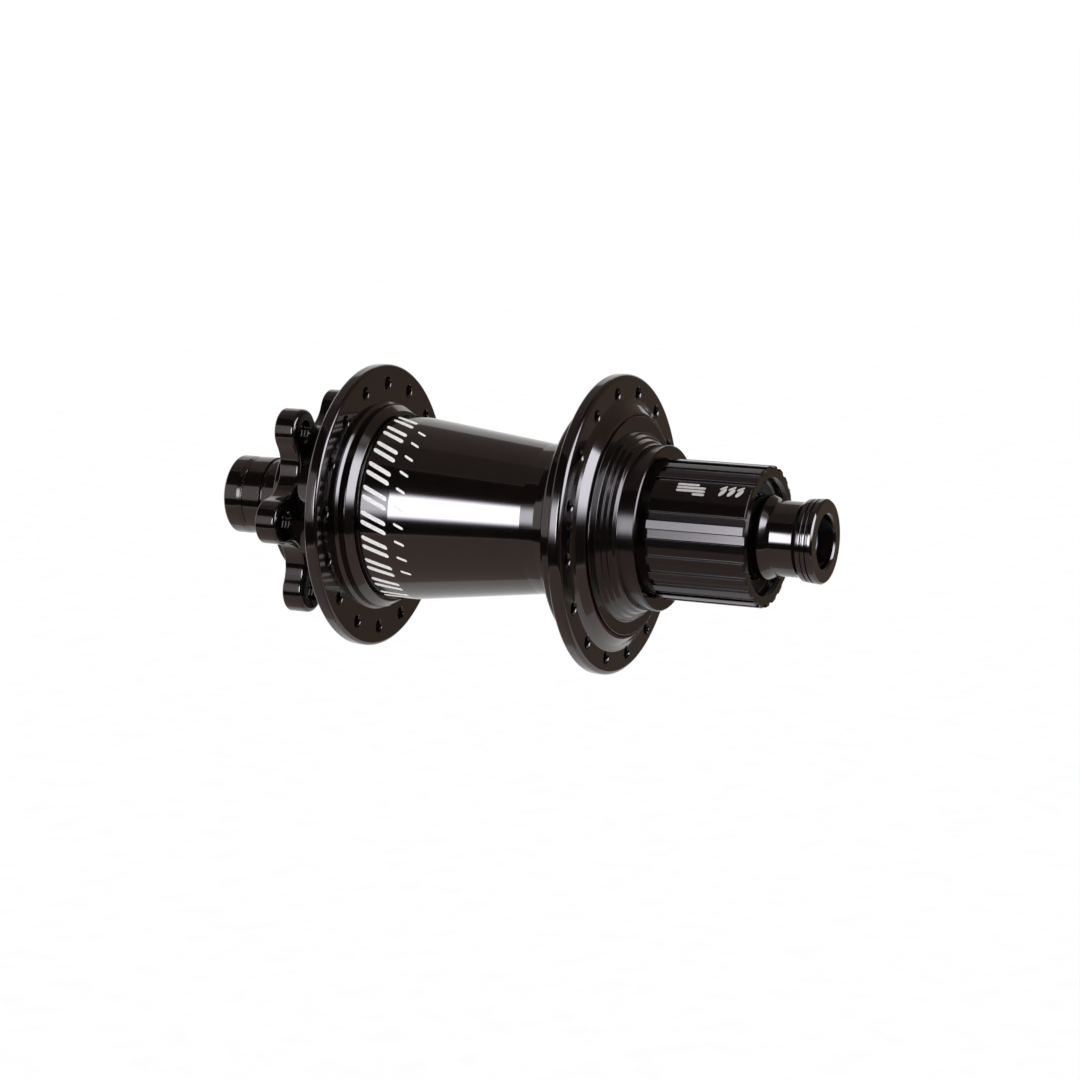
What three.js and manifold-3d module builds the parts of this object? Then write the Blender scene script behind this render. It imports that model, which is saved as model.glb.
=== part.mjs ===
// Rear bicycle hub for a 12 x 148 mm through axle, in millimetres, +Z up.
//
// The hub's own axis lies along Y through the origin, which is midway between
// the two end faces. -Y is the drive side (the freehub body), +Y is the disc
// brake side, and +X is the way the bicycle rides. A turn about +Y is the
// driving direction.
//
// Stations along the axis are given from the drive side end face, so station 0
// is that face and station hubWidth is the disc side end face. Angles round
// the axis are measured from -X, upwards through +Z.

import * as THREE from 'three';
import { mergeVertices } from 'three/addons/utils/BufferGeometryUtils.js';
import Module from 'manifold-3d';

const wasm = await Module();
wasm.setup();

// ---------------------------------------------------------------- dimensions

const hubWidth = 148;
const gap = 0.3;

// Through axle and the tube that the bearings sit on
const throughAxleRadius = 6;
const axleTubeOuterRadius = 7.3;
const axleTubeInnerRadius = 6.2;
const axleTubeStart = 4.3;
const spacerRadius = 9;

// Bearings: 15 x 28 x 7 in the shell, 15 x 24 x 5 in the freehub body
const shellBearing = {
  innerRadius: 7.6, innerLandRadius: 9.6, outerLandRadius: 11.9, outerRadius: 14,
  width: 7, ballRadius: 2, ballCount: 10,
};
const freehubBearing = {
  innerRadius: 7.6, innerLandRadius: 9.1, outerLandRadius: 10.6, outerRadius: 12,
  width: 5, ballRadius: 1.3, ballCount: 12,
};
const shellBearingDriveStart = 57;
const shellBearingDiscStart = 121.7;
const freehubBearingOuterStart = 17;
const freehubBearingInnerStart = 40.5;
const raceClearance = 0.15;

// Shell
const driveFlangeRadius = 34.2;
const discFlangeRadius = 33;
const driveFlangeFace = 49;
const driveFlangeBack = 52.2;
const discFlangeFace = 110;
const discFlangeBack = 113.2;
const spokesPerFlange = 16;
const spokeHoleRadius = 1.3;
const driveSpokeCircleRadius = 30.3;
const discSpokeCircleRadius = 28.6;
const driveSpokeHoleAngle = 17;

// Disc brake mount: six bolts on a 44 mm circle
const rotorFace = 129.2;
const rotorLobeThickness = 5.5;
const rotorBoltCount = 6;
const rotorBoltCircleRadius = 22;
const rotorLobeRadius = 5.2;
const rotorScallopRadius = 17.4;
const rotorBoltHoleRadius = 2.3;
const rotorLobeAngle = -4;

// Freehub body
const freehubFace = 13.5;
const splineRootRadius = 15.2;
const splineTipRadius = 15.95;
const splineEnd = 36.7;
const cassetteStopFace = 38.2;
const freehubFlangeFace = 46.2;
const freehubFlangeRadius = 24.8;
const carrierStart = 49;
const carrierEnd = 54.2;
const carrierRadius = 20.9;
const splineChamfer = 0.2;
const wideLandStartAngle = 24.5;
const wideLandEndAngle = 53;
const narrowLandCount = 22;
const narrowLandAngle = 7.2;
const firstNarrowLandAngle = 57;
const lastNarrowLandAngle = 370.1;

// Ratchet: pawls in the freehub body, teeth on a ring in the shell
const pawlCount = 6;
const toothCount = 60;
const toothTipRadius = 21.6;
const toothRootRadius = 22.8;
const driveRingRadius = 25.2;
const driveRingStart = 49.5;
const driveRingEnd = 54.3;
const pawlPivotRadius = 17.9;
const pawlPivotPinRadius = 1.6;
const pawlTipRadius = 22.3;
const pawlToothGap = 0.6;
const pawlLength = 6.6;
const pawlFoldAngle = 12;
const pawlStart = 49.4;
const pawlEnd = 53.8;
const firstPawlAngle = 10;

// Facets round a full turn
const shellFacets = 36;
const plainFacets = 24;
const bearingFacets = 24;

// ----------------------------------------------------------------- materials

function metal(name, colour, roughness, metalness) {
  return new THREE.MeshStandardMaterial({ name, color: colour, roughness, metalness });
}

const blackAnodised = metal('black_anodised', 0x17161a, 0.18, 0.9);
const bearingSteel = metal('bearing_steel', 0xb4b6b8, 0.22, 1);
const hardenedSteel = metal('hardened_steel', 0x6f7073, 0.35, 1);
const springSteel = metal('spring_steel', 0x9a9ba0, 0.3, 1);
const rawAluminium = metal('raw_aluminium', 0xa9abae, 0.4, 1);
const cagePlastic = metal('cage_and_balls', 0x8d8f92, 0.4, 0.6);
const blackRubber = metal('black_rubber', 0x121212, 0.7, 0);
const redRubber = metal('red_rubber', 0x7a1210, 0.55, 0);

// -------------------------------------------------------------- shape helpers

function radians(degrees) {
  return degrees * Math.PI / 180;
}

// Position along Y of a station measured from the drive side end face.
function along(station) {
  return station - hubWidth / 2;
}

// A turned ring. The profile is a list of [station, radius] corners that
// closes on itself, so the solid is open through the middle.
function turned(profile, facets) {
  const corners = profile.map(([station, radius]) => new THREE.Vector2(radius, along(station)));
  corners.push(corners[0].clone());
  return new THREE.LatheGeometry(corners, facets);
}

// A point of an outline drawn square to the axis, seen from the drive side.
function polar(radius, angle) {
  return new THREE.Vector2(-radius * Math.cos(radians(angle)), -radius * Math.sin(radians(angle)));
}

// An outline square to the axis, drawn out between two stations.
function extruded(outline, start, end) {
  const settings = { depth: end - start, bevelEnabled: false };
  const geometry = new THREE.ExtrudeGeometry(new THREE.Shape(outline), settings);
  geometry.rotateX(-Math.PI / 2);
  geometry.translate(0, along(start), 0);
  return geometry;
}

function rodAlongAxis(radius, start, end, distance, angle, facets) {
  const geometry = new THREE.CylinderGeometry(radius, radius, end - start, facets);
  const centre = polar(distance, angle);
  geometry.translate(centre.x, along((start + end) / 2), -centre.y);
  return geometry;
}

function solid(geometry) {
  const bare = geometry.clone();
  bare.deleteAttribute('normal');
  bare.deleteAttribute('uv');
  const merged = mergeVertices(bare, 1e-4);
  const vertProperties = new Float32Array(merged.attributes.position.array);
  const corners = Array.from(merged.index.array);
  const triVerts = [];
  for (let i = 0; i < corners.length; i += 3) {
    const [a, b, c] = corners.slice(i, i + 3);
    if (a !== b && b !== c && c !== a) triVerts.push(a, b, c);
  }
  let volume = 0;
  for (let i = 0; i < triVerts.length; i += 3) {
    const [a, b, c] = triVerts.slice(i, i + 3).map(
      (corner) => new THREE.Vector3().fromArray(vertProperties, 3 * corner),
    );
    volume += a.dot(b.cross(c));
  }
  if (volume < 0) {
    for (let i = 0; i < triVerts.length; i += 3) {
      [triVerts[i + 1], triVerts[i + 2]] = [triVerts[i + 2], triVerts[i + 1]];
    }
  }
  const mesh = new wasm.Mesh({ numProp: 3, vertProperties, triVerts: Uint32Array.from(triVerts) });
  return new wasm.Manifold(mesh);
}

function geometryOf(body) {
  const mesh = body.getMesh();
  const geometry = new THREE.BufferGeometry();
  geometry.setAttribute('position', new THREE.BufferAttribute(mesh.vertProperties, 3));
  geometry.setIndex(new THREE.BufferAttribute(mesh.triVerts, 1));
  geometry.computeVertexNormals();
  return geometry;
}

function joined(geometries) {
  return geometries.map(solid).reduce((whole, piece) => whole.add(piece));
}

const hub = new THREE.Group();

function addPiece(name, geometry, material) {
  const body = geometry instanceof wasm.Manifold ? geometry : solid(geometry);
  const mesh = new THREE.Mesh(geometryOf(body), material);
  mesh.name = name;
  hub.add(mesh);
  return mesh;
}

// ------------------------------------------------------------------ axle group

function axleTube() {
  const end = hubWidth - axleTubeStart;
  const shoulderStart = shellBearingDriveStart + shellBearing.width + gap;
  const shoulderEnd = shellBearingDiscStart - gap;
  return turned([
    [axleTubeStart, axleTubeInnerRadius],
    [axleTubeStart, axleTubeOuterRadius],
    [shoulderStart, axleTubeOuterRadius],
    [shoulderStart, spacerRadius],
    [shoulderEnd, spacerRadius],
    [shoulderEnd, axleTubeOuterRadius],
    [end, axleTubeOuterRadius],
    [end, axleTubeInnerRadius],
  ], plainFacets);
}

// Cap with two ridges behind its rim, a neck, and a flare that shields the
// freehub bearing.
function driveEndCap() {
  return turned([
    [0, throughAxleRadius + 0.4],
    [0, 9.1],
    [0.4, 9.5],
    [1.35, 9.5],
    [1.35, 9],
    [1.85, 9],
    [1.85, 9.4],
    [2.5, 9.4],
    [2.5, 8.95],
    [3, 8.95],
    [3, 9.3],
    [4, 9.25],
    [5.1, 8.45],
    [11, 8.45],
    [12.8, 9.55],
    [14.2, 9.55],
    [14.2, 9],
    [freehubBearingOuterStart - gap, 9],
    [freehubBearingOuterStart - gap, axleTubeOuterRadius + gap],
    [axleTubeStart - gap, axleTubeOuterRadius + gap],
    [axleTubeStart - gap, throughAxleRadius],
    [0.4, throughAxleRadius],
  ], plainFacets);
}

function discEndCap() {
  const noseEnd = shellBearingDiscStart + shellBearing.width + gap;
  return turned([
    [hubWidth, throughAxleRadius + 0.4],
    [hubWidth, 8.8],
    [hubWidth - 0.4, 9.2],
    [143.2, 9.2],
    [143, 8.95],
    [142.8, 9.2],
    [138.4, 9.25],
    [138.1, 8.85],
    [137.4, 8.85],
    [137.1, 9.25],
    [131.2, 9.25],
    [130.8, 9],
    [noseEnd, 9],
    [noseEnd, axleTubeOuterRadius + gap],
    [hubWidth - axleTubeStart + gap, axleTubeOuterRadius + gap],
    [hubWidth - axleTubeStart + gap, throughAxleRadius],
    [hubWidth - 0.4, throughAxleRadius],
  ], plainFacets);
}

function spacerTube(start, end) {
  return turned([
    [start, axleTubeOuterRadius + gap],
    [start, spacerRadius],
    [end, spacerRadius],
    [end, axleTubeOuterRadius + gap],
  ], bearingFacets);
}

// -------------------------------------------------------------------- bearings

// Half angle of the ball groove where it meets a ring's land.
function grooveHalfWidth(bearing, landRadius) {
  const pitchRadius = (bearing.innerLandRadius + bearing.outerLandRadius) / 2;
  const grooveRadius = bearing.ballRadius + raceClearance;
  return Math.sqrt(grooveRadius ** 2 - (landRadius - pitchRadius) ** 2);
}

function innerRing(bearing, start) {
  const middle = start + bearing.width / 2;
  const end = start + bearing.width;
  const pitchRadius = (bearing.innerLandRadius + bearing.outerLandRadius) / 2;
  const grooveRadius = bearing.ballRadius + raceClearance;
  const half = grooveHalfWidth(bearing, bearing.innerLandRadius);
  return turned([
    [start, bearing.innerRadius],
    [start, bearing.innerLandRadius],
    [middle - half, bearing.innerLandRadius],
    [middle - half * 0.45, pitchRadius - grooveRadius * 0.97],
    [middle + half * 0.45, pitchRadius - grooveRadius * 0.97],
    [middle + half, bearing.innerLandRadius],
    [end, bearing.innerLandRadius],
    [end, bearing.innerRadius],
  ], bearingFacets);
}

function outerRing(bearing, start) {
  const middle = start + bearing.width / 2;
  const end = start + bearing.width;
  const pitchRadius = (bearing.innerLandRadius + bearing.outerLandRadius) / 2;
  const grooveRadius = bearing.ballRadius + raceClearance;
  const half = grooveHalfWidth(bearing, bearing.outerLandRadius);
  return turned([
    [start, bearing.outerRadius],
    [start, bearing.outerLandRadius],
    [middle - half, bearing.outerLandRadius],
    [middle - half * 0.45, pitchRadius + grooveRadius * 0.97],
    [middle + half * 0.45, pitchRadius + grooveRadius * 0.97],
    [middle + half, bearing.outerLandRadius],
    [end, bearing.outerLandRadius],
    [end, bearing.outerRadius],
  ], bearingFacets);
}

// The balls and the cage that spaces them, as one ring that rolls round.
function ballCage(bearing, start) {
  const middle = start + bearing.width / 2;
  const pitchRadius = (bearing.innerLandRadius + bearing.outerLandRadius) / 2;
  const halfThickness = 0.3;
  const halfWidth = bearing.ballRadius * 0.55;
  const cage = turned([
    [middle - halfWidth, pitchRadius - halfThickness],
    [middle - halfWidth, pitchRadius + halfThickness],
    [middle + halfWidth, pitchRadius + halfThickness],
    [middle + halfWidth, pitchRadius - halfThickness],
  ], bearingFacets);
  const pieces = [cage];
  for (let i = 0; i < bearing.ballCount; i += 1) {
    const ball = new THREE.SphereGeometry(bearing.ballRadius, 6, 4);
    const centre = polar(pitchRadius, 360 * i / bearing.ballCount);
    ball.translate(centre.x, along(middle), -centre.y);
    pieces.push(ball);
  }
  return joined(pieces);
}

// ----------------------------------------------------------------------- shell

function shellTurning() {
  const seatRadius = shellBearing.outerRadius + gap;
  const shoulderRadius = 12.6;
  const ringSeatRadius = driveRingRadius + gap;
  const discSeatStart = shellBearingDiscStart - gap;
  return turned([
    // outside, from the drive side to the disc side
    [46.7, ringSeatRadius],
    [46.7, 27],
    [47.6, 28.2],
    [driveFlangeFace, 28.7],
    [driveFlangeFace, driveFlangeRadius - 0.7],
    [driveFlangeFace + 0.7, driveFlangeRadius],
    [driveFlangeBack - 0.7, driveFlangeRadius],
    [driveFlangeBack, driveFlangeRadius - 0.7],
    [driveFlangeBack, 27.3],
    [56.6, 27.1],
    [58, 24],
    [59.4, 19.8],
    [61.2, 17.9],
    [63.6, 17.25],
    [66.8, 17.25],
    [98, 21.1],
    [104.8, 21.6],
    [105.2, 20.9],
    [105.9, 20.9],
    [106, 22.3],
    [107.7, 23.7],
    [109.4, 23.7],
    [discFlangeFace, 24.3],
    [discFlangeFace, discFlangeRadius - 0.6],
    [discFlangeFace + 0.6, discFlangeRadius],
    [discFlangeBack - 0.6, discFlangeRadius],
    [discFlangeBack, discFlangeRadius - 0.6],
    [discFlangeBack, 21.5],
    [114.4, 19.3],
    [116.4, 17.2],
    [130.1, 17.2],
    [130.4, 16.9],
    // inside, back to the drive side
    [130.4, seatRadius],
    [discSeatStart, seatRadius],
    [discSeatStart, shoulderRadius],
    [discSeatStart - 1.6, shoulderRadius],
    [116, 15],
    [111, 18.6],
    [104, 18.8],
    [82, 16],
    [72, 14.8],
    [66, 14.8],
    [65.9, shoulderRadius],
    [64.3, shoulderRadius],
    [64.3, seatRadius],
    [54.7, seatRadius],
    [54.7, ringSeatRadius],
  ], shellFacets);
}

// A point on a small circle whose centre is off the axis. The turn is measured
// from the direction that points away from the axis.
function onCircle(centreRadius, centreAngle, radius, turn) {
  return polar(centreRadius, centreAngle).add(polar(radius, centreAngle + turn));
}

// Outline with six lobes for the brake rotor's bolts, and a hollow between each
// two that runs smoothly into both.
function rotorMountOutline() {
  const step = 360 / rotorBoltCount;
  const cosine = Math.cos(radians(step / 2));
  const sine = Math.sin(radians(step / 2));
  const bolts = rotorBoltCircleRadius;
  const room = bolts ** 2 + rotorScallopRadius ** 2 - rotorLobeRadius ** 2
    - 2 * bolts * cosine * rotorScallopRadius;
  const hollowRadius = room / (2 * (rotorLobeRadius - rotorScallopRadius + bolts * cosine));
  const hollowCentre = rotorScallopRadius + hollowRadius;
  const lobeSweep = Math.atan2(hollowCentre * sine, hollowCentre * cosine - bolts) * 180 / Math.PI;
  const hollowSweep = Math.atan2(bolts * sine, hollowCentre - bolts * cosine) * 180 / Math.PI;
  const lobeSteps = 8;
  const hollowSteps = 4;
  const outline = [];
  for (let i = 0; i < rotorBoltCount; i += 1) {
    const lobeAngle = rotorLobeAngle + step * i;
    for (let j = 0; j <= lobeSteps; j += 1) {
      const turn = lobeSweep * (2 * j / lobeSteps - 1);
      outline.push(onCircle(bolts, lobeAngle, rotorLobeRadius, turn));
    }
    for (let j = 1; j < hollowSteps; j += 1) {
      const turn = 180 + hollowSweep * (1 - 2 * j / hollowSteps);
      outline.push(onCircle(hollowCentre, lobeAngle + step / 2, hollowRadius, turn));
    }
  }
  return outline;
}

function rotorMount() {
  const start = rotorFace - rotorLobeThickness;
  const core = rodAlongAxis(15.5, start - 1, rotorFace + 1, 0, 0, shellFacets);
  let mount = solid(extruded(rotorMountOutline(), start, rotorFace)).subtract(solid(core));
  for (let i = 0; i < rotorBoltCount; i += 1) {
    const angle = rotorLobeAngle + 360 / rotorBoltCount * i;
    const hole = rodAlongAxis(
      rotorBoltHoleRadius, start - 1, rotorFace + 1, rotorBoltCircleRadius, angle, 12,
    );
    mount = mount.subtract(solid(hole));
  }
  return mount;
}

// The holes of the two flanges are staggered by half a step.
function spokeHoles() {
  const step = 360 / spokesPerFlange;
  const holes = [];
  for (let i = 0; i < spokesPerFlange; i += 1) {
    const driveAngle = driveSpokeHoleAngle + step * i;
    const discAngle = driveAngle + step / 2;
    holes.push(rodAlongAxis(
      spokeHoleRadius, driveFlangeFace - 1, driveFlangeBack + 1, driveSpokeCircleRadius, driveAngle, 8,
    ));
    holes.push(rodAlongAxis(
      spokeHoleRadius, discFlangeFace - 1, discFlangeBack + 1, discSpokeCircleRadius, discAngle, 8,
    ));
  }
  return holes;
}

function hubShell() {
  const body = solid(shellTurning()).add(rotorMount());
  return spokeHoles().reduce((left, hole) => left.subtract(solid(hole)), body);
}

// Ring with inward ratchet teeth: a steep face that the pawls push on, then a
// ramp that lifts them over when the freehub body turns back.
function driveRing() {
  const pitch = 360 / toothCount;
  const teeth = [];
  for (let i = 0; i < toothCount; i += 1) {
    const face = toothFaceAngle() + pitch * i;
    teeth.push(polar(toothRootRadius, face));
    teeth.push(polar(toothTipRadius, face + 0.2));
  }
  const blank = rodAlongAxis(driveRingRadius, driveRingStart, driveRingEnd, 0, 0, shellFacets);
  return solid(blank).subtract(solid(extruded(teeth, driveRingStart - 1, driveRingEnd + 1)));
}

// Rubbing cover over the disc side bearing.
function discSeal() {
  return turned([
    [129.2, 9.65],
    [129.2, 14],
    [130.2, 14],
    [130.2, 9.65],
  ], bearingFacets);
}

// ---------------------------------------------------------------- freehub body

function freehubTurning() {
  return turned([
    [freehubFace, 13.1],
    [freehubFace, splineRootRadius],
    [splineEnd, splineRootRadius],
    [splineEnd, 14.8],
    [cassetteStopFace, 14.8],
    [cassetteStopFace, 18.5],
    [cassetteStopFace + 0.3, 18.8],
    [42.4, 18.8],
    [43, 20.2],
    [43.6, 20.2],
    [43.6, 20.9],
    [freehubFlangeFace, 20.9],
    [freehubFlangeFace, freehubFlangeRadius],
    [46.7, freehubFlangeRadius],
    [46.7, 24],
    [48.5, 24],
    [48.5, freehubFlangeRadius],
    [carrierStart, freehubFlangeRadius],
    [carrierStart, carrierRadius],
    [carrierEnd, carrierRadius],
    [carrierEnd, 12.4],
    [freehubBearingInnerStart - gap, 12.4],
    [freehubBearingInnerStart - gap, 10.4],
    [22.3, 10.4],
    [22.3, 12.3],
    [16.7, 12.3],
    [16.7, 12.6],
    [14, 12.6],
  ], shellFacets);
}

// One land that stands above the spline's root, between two angles.
function splineLand(lower, upper) {
  const steps = Math.ceil((upper - lower) / 7.5);
  const outline = [polar(splineRootRadius - 0.7, upper), polar(splineRootRadius - 0.7, lower)];
  for (let i = 0; i <= steps; i += 1) {
    outline.push(polar(splineTipRadius, lower + (upper - lower) * i / steps));
  }
  return extruded(outline, freehubFace + splineChamfer, splineEnd);
}

// The wide land and the narrow ones, upwards from it. The gap above the wide
// land is tighter than the rest, so the sprockets only go on one way round.
function splineLands() {
  const pitch = (lastNarrowLandAngle - firstNarrowLandAngle) / (narrowLandCount - 1);
  const lands = [splineLand(wideLandStartAngle, wideLandEndAngle)];
  for (let i = 0; i < narrowLandCount; i += 1) {
    const lower = firstNarrowLandAngle + pitch * i;
    lands.push(splineLand(lower, lower + narrowLandAngle));
  }
  return lands;
}

// Places a point given from a pawl's pivot: outwards from the hub's axis, and
// forwards in the driving direction.
function fromPivot(outwards, forwards, pawlAngle) {
  return polar(pawlPivotRadius + outwards, pawlAngle).add(polar(forwards, pawlAngle + 90));
}

// Recess for one pawl: a round socket for its pivot, and room to fold down
// onto its spring.
function pawlPocket(angle) {
  const room = [
    fromPivot(-2.35, 0.4, angle),
    fromPivot(-1, pawlLength + 1.1, angle),
    fromPivot(5, pawlLength + 1.3, angle),
    fromPivot(5, 0.3, angle),
    fromPivot(0, 0.3, angle),
  ];
  const pocketStart = pawlStart - gap;
  const pocketEnd = carrierEnd + 1;
  const socket = rodAlongAxis(
    pawlPivotPinRadius + gap, pocketStart, pocketEnd, pawlPivotRadius, angle, 16,
  );
  return solid(extruded(room, pocketStart, pocketEnd)).add(solid(socket));
}

function freehubBody() {
  const withLands = splineLands().reduce(
    (whole, land) => whole.add(solid(land)),
    solid(freehubTurning()),
  );
  return pawlAngles().reduce((left, angle) => left.subtract(pawlPocket(angle)), withLands);
}

function lipSeal() {
  return turned([
    [47, 24.3],
    [47, 25.2],
    [48.2, 25.2],
    [48.2, 24.3],
  ], shellFacets);
}

function freehubEndSeal() {
  return turned([
    [14.9, 9.9],
    [14.9, 12.3],
    [16.4, 12.3],
    [16.4, 9.9],
  ], bearingFacets);
}

// ---------------------------------------------------------------------- ratchet

function pawlAngles() {
  return Array.from({ length: pawlCount }, (_, i) => firstPawlAngle + 360 / pawlCount * i);
}

// How far out the tip of an engaged pawl is from its pivot, along the radius.
function pawlTipRise() {
  return Math.sqrt(pawlTipRadius ** 2 - pawlLength ** 2) - pawlPivotRadius;
}

// Angle of one tooth's steep face, in front of the first pawl's tip by enough
// for the tip to swing in past the tooth's crest.
function toothFaceAngle() {
  const tipAngle = Math.asin(pawlLength / pawlTipRadius) * 180 / Math.PI;
  const clearance = pawlToothGap / pawlTipRadius * 180 / Math.PI;
  return firstPawlAngle + tipAngle + clearance;
}

// Places a point of a pawl that is folded down, clear of the teeth. The point
// is given as it lies on an engaged pawl.
function folded(outwards, forwards, pawlAngle) {
  const turn = radians(pawlFoldAngle);
  return fromPivot(
    outwards * Math.cos(turn) - forwards * Math.sin(turn),
    forwards * Math.cos(turn) + outwards * Math.sin(turn),
    pawlAngle,
  );
}

function pawl(angle) {
  const rise = pawlTipRise();
  const outline = [
    folded(rise, pawlLength, angle),
    folded(rise - 2.2, pawlLength - 0.1, angle),
    folded(-1.1, 1.15, angle),
  ];
  for (let turn = 190; turn <= 370; turn += 30) {
    const outwards = pawlPivotPinRadius * Math.cos(radians(turn));
    const forwards = pawlPivotPinRadius * Math.sin(radians(turn));
    outline.push(folded(outwards, forwards, angle));
  }
  outline.push(folded(rise - 0.55, pawlLength - 2, angle));
  return extruded(outline, pawlStart, pawlEnd);
}

// Thin leaf that lies along the floor of the pocket, under the pawl.
function pawlSpring(angle) {
  return extruded([
    fromPivot(-1.9, 1.6, angle),
    fromPivot(-0.85, pawlLength - 0.2, angle),
    fromPivot(-0.55, pawlLength - 0.2, angle),
    fromPivot(-1.6, 1.6, angle),
  ], pawlStart + 0.8, pawlEnd - 0.8);
}

// --------------------------------------------------------------------- assembly

function addAxleGroup() {
  addPiece('axle_tube', axleTube(), rawAluminium);
  addPiece('end_cap_drive', driveEndCap(), blackAnodised);
  addPiece('end_cap_disc', discEndCap(), blackAnodised);
  const outerSpacerStart = freehubBearingOuterStart + freehubBearing.width + gap;
  const innerSpacerStart = freehubBearingInnerStart + freehubBearing.width + gap;
  addPiece(
    'spacer_in_freehub',
    spacerTube(outerSpacerStart, freehubBearingInnerStart - gap),
    rawAluminium,
  );
  addPiece(
    'spacer_behind_freehub',
    spacerTube(innerSpacerStart, shellBearingDriveStart - gap),
    rawAluminium,
  );
}

function addBearing(name, bearing, start) {
  addPiece(`${name}_inner_ring`, innerRing(bearing, start), bearingSteel);
  addPiece(`${name}_outer_ring`, outerRing(bearing, start), bearingSteel);
  addPiece(`${name}_balls_and_cage`, ballCage(bearing, start), cagePlastic);
}

function addBearings() {
  addBearing('shell_bearing_drive', shellBearing, shellBearingDriveStart);
  addBearing('shell_bearing_disc', shellBearing, shellBearingDiscStart);
  addBearing('freehub_bearing_outer', freehubBearing, freehubBearingOuterStart);
  addBearing('freehub_bearing_inner', freehubBearing, freehubBearingInnerStart);
}

function addShellGroup() {
  addPiece('hub_shell', hubShell(), blackAnodised);
  addPiece('drive_ring', driveRing(), hardenedSteel);
  addPiece('disc_seal', discSeal(), blackRubber);
}

function addFreehubGroup() {
  addPiece('freehub_body', freehubBody(), blackAnodised);
  addPiece('freehub_lip_seal', lipSeal(), redRubber);
  addPiece('freehub_end_seal', freehubEndSeal(), blackRubber);
  pawlAngles().forEach((angle, i) => {
    addPiece(`pawl_${i + 1}`, pawl(angle), hardenedSteel);
    addPiece(`pawl_spring_${i + 1}`, pawlSpring(angle), springSteel);
  });
}

addAxleGroup();
addBearings();
addShellGroup();
addFreehubGroup();

export default hub;
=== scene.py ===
"""Looks of a rear bicycle hub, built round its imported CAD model.

Blender works in metres. The hub's own dimensions are written in millimetres,
as stations along the axis from the drive side end face, radii, and angles
round the axis from -X upwards through +Z.
"""

import math

import bmesh
import bpy
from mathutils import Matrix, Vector


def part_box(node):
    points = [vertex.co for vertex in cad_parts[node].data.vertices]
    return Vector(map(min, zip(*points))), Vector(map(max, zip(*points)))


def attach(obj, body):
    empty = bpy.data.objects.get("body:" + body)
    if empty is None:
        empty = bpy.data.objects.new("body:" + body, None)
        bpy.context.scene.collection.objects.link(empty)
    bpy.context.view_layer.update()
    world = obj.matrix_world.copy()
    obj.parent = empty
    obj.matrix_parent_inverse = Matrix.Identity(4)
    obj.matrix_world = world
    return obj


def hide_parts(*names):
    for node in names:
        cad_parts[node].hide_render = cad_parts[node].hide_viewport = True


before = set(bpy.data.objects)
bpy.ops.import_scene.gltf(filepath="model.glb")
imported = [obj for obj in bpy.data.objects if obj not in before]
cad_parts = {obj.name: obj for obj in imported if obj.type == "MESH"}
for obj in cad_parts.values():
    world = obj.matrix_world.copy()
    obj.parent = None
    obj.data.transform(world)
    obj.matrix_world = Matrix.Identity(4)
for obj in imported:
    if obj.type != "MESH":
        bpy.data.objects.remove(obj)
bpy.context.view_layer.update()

# ---------------------------------------------------------------- dimensions

MM = 0.001
DRIVE_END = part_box("end_cap_drive")[0].y
HUB_WIDTH = (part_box("end_cap_disc")[1].y - DRIVE_END) / MM

# Meshes: columns round a turning, the largest turn between two points of a fillet,
# the angle between faces from which an edge stays sharp, and how near two points
# are when they are one (in metres)
TURNED_SEGMENTS = 240
FILLET_TURN = 18.0
SHARP_ANGLE = 32.0
MERGE_DISTANCE = 1e-7

# Shell
DRIVE_FLANGE_FACE = 49.0
DRIVE_FLANGE_BACK = 52.2
DISC_FLANGE_FACE = 110.0
DISC_FLANGE_BACK = 113.2
SPOKES_PER_FLANGE = 16
SPOKE_HOLE_RADIUS = 1.3
SPOKE_HOLE_EDGE = 0.3
DRIVE_SPOKE_CIRCLE = 30.3
DISC_SPOKE_CIRCLE = 28.6
DRIVE_SPOKE_ANGLE = 17.0
BARREL_STATIONS = (66.8, 98.0)
BARREL_RADII = (17.25, 21.1)
BARREL_END = 104.8
BARREL_END_RADIUS = 21.6

# Disc brake mount
ROTOR_FACE = 129.2
ROTOR_LOBE_THICKNESS = 5.5
ROTOR_BOLTS = 6
ROTOR_BOLT_CIRCLE = 22.0
ROTOR_LOBE_RADIUS = 5.2
ROTOR_HOLLOW_RADIUS = 17.4
ROTOR_CORE_RADIUS = 15.6
ROTOR_OUTER_EDGE = 0.45
ROTOR_INNER_EDGE = 1.1
ROTOR_LOBE_ANGLE = -4.0
BOLT_HOLE_RADIUS = 2.25
BOLT_THREAD_DEPTH = 0.16
BOLT_THREAD_PITCH = 0.8

# Freehub body. Its splines are one wide land and many narrow ones
FREEHUB_FACE = 13.5
SPLINE_GROOVE = 14.8
SPLINE_ROOT = 15.2
SPLINE_TIP = 15.95
SPLINE_END = 36.7
SPLINE_CHAMFER = 0.2
SPLINE_CORNER_OUTSIDE = 0.1
SPLINE_CORNER_INSIDE = 0.12
WIDE_LAND = (24.5, 53.0)
NARROW_LANDS = 22
NARROW_LAND_ANGLE = 7.2
FIRST_NARROW_LAND = 57.0
LAST_NARROW_LAND = 370.1
LOCKRING_THREAD_PITCH = 0.7
LOCKRING_THREADS = 3
LOCKRING_THREAD_RADII = (12.95, 12.83)
SPLINE_COLUMN_WIDTH = 0.5
WIDE_LAND_COLUMN_ANGLE = 2.0

# Pockets for the pawls
PAWL_COUNT = 6
FIRST_PAWL_ANGLE = 10.0
PAWL_PIVOT_RADIUS = 17.9
PAWL_SOCKET_RADIUS = 1.9
PAWL_LENGTH = 6.6
POCKET_START = 49.1
POCKET_END = 55.2

# Marks: how far they stand off the surface and reach into it
MARK_HEIGHT = 0.03
MARK_DEPTH = 0.05

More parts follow.
